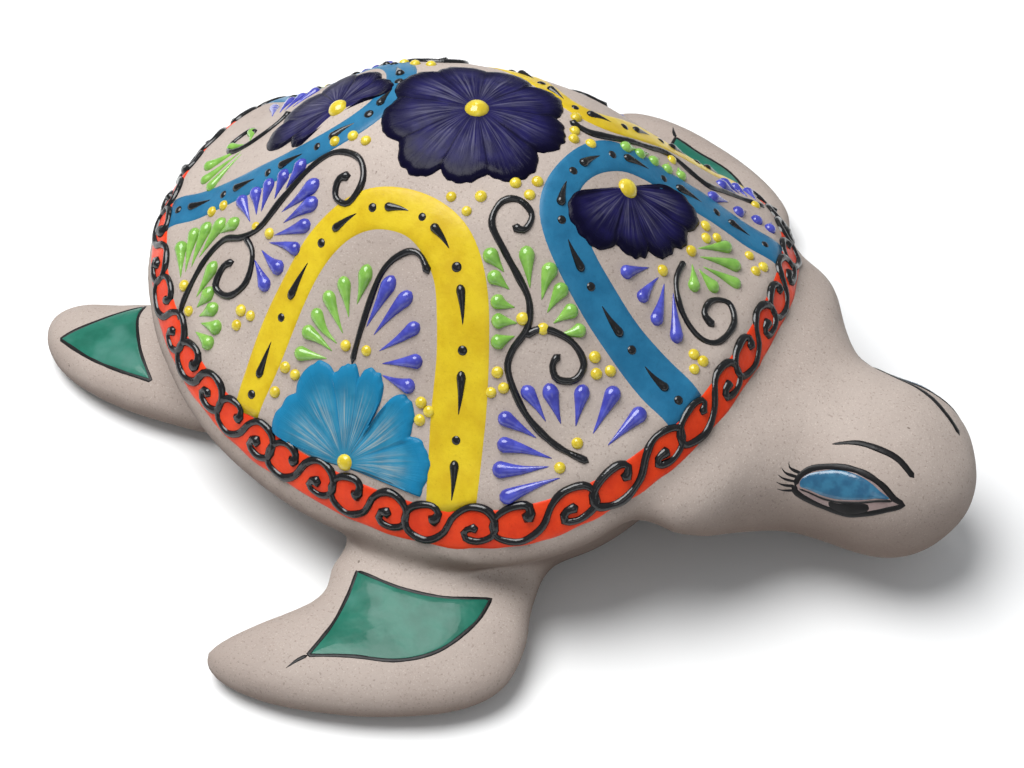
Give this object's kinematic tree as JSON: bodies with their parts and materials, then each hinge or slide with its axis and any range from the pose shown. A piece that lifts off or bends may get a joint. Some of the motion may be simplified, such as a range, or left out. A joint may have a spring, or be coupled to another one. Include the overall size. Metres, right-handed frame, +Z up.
{
  "type": "ceramic sea turtle figure",
  "caption": "Hollow fired-clay sea turtle that rests flat, with a domed shell, a rounded head, curved flippers and raised glaze and slip decoration.",
  "frame": {"origin": "middle of the figure's box, on the plane that it rests on", "axes": "+X towards the head, +Y towards the turtle's left side, +Z up"},
  "size_m": [0.3425, 0.3232, 0.1369],
  "materials": {
    "fired_clay": "matte, fine dark speckle",
    "orange_glaze": "satin",
    "yellow_glaze": "satin",
    "sky_blue_glaze": "satin",
    "light_blue_glaze": "satin, brushed streaks",
    "navy_glaze": "gloss, brushed streaks",
    "green_glaze": "gloss",
    "yellow_slip": "gloss",
    "black_slip": "gloss",
    "blue_slip": "gloss",
    "lime_slip": "gloss"
  },
  "bodies": {
    "root": {"carapace": "fired_clay", "plastron": "fired_clay", "head_and_neck": "fired_clay", "front_flipper_right": "fired_clay", "front_flipper_left": "fired_clay", "rear_flipper_right": "fired_clay", "rear_flipper_left": "fired_clay", "rim_band": "orange_glaze", "front_arch": "sky_blue_glaze", "rear_arch": "sky_blue_glaze", "side_arch_right": "yellow_glaze", "side_arch_left": "yellow_glaze", "top_flower": "navy_glaze", "front_flower": "navy_glaze", "rear_flower": "navy_glaze", "side_flower_right": "light_blue_glaze", "side_flower_left": "light_blue_glaze", "top_flower_centre": "yellow_slip", "front_flower_centre": "yellow_slip", "rear_flower_centre": "yellow_slip", "side_flower_centre_right": "yellow_slip", "side_flower_centre_left": "yellow_slip", "front_vine_right": "black_slip", "front_vine_left": "black_slip", "rear_vine_right": "black_slip", "rear_vine_left": "black_slip", "front_stem": "black_slip", "rear_stem": "black_slip", "side_stem_right": "black_slip", "side_stem_left": "black_slip", "front_flipper_patch_right": "green_glaze", "front_flipper_patch_left": "green_glaze", "rear_flipper_patch_right": "green_glaze", "rear_flipper_patch_left": "green_glaze", "eyelid_right": "light_blue_glaze", "eyelid_left": "light_blue_glaze"}
  },
  "joints": []
}
